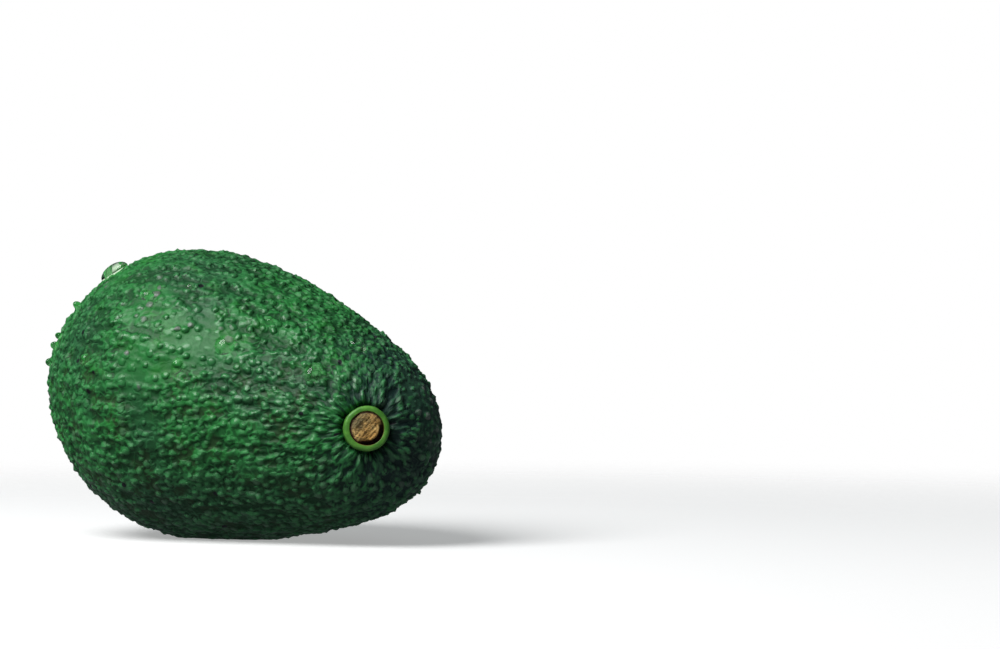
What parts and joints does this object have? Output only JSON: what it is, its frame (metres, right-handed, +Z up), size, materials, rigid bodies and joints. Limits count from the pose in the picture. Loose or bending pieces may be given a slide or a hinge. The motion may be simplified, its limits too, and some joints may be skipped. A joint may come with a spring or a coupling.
{
  "type": "avocado",
  "caption": "Whole pebbled green avocado lying on its side, pear-shaped, with a small flat rest spot and a stub of its stalk in the neck end.",
  "frame": {"origin": "middle of the bounding box in plan, on the surface that the fruit rests on", "axes": "+Z up, +X along the long axis towards the neck and the stem button, +Y to the left of that, away from the side that the neck bends to"},
  "size_m": [0.1094, 0.0702, 0.0698],
  "materials": {
    "skin": "pebbled leathery green skin, waxy satin sheen",
    "stem": "matt green rind round a tan broken woody core",
    "water": "clear water drops, in the visual model only"
  },
  "bodies": {
    "root": {"fruit": "skin", "stem_button": "stem"}
  },
  "joints": []
}
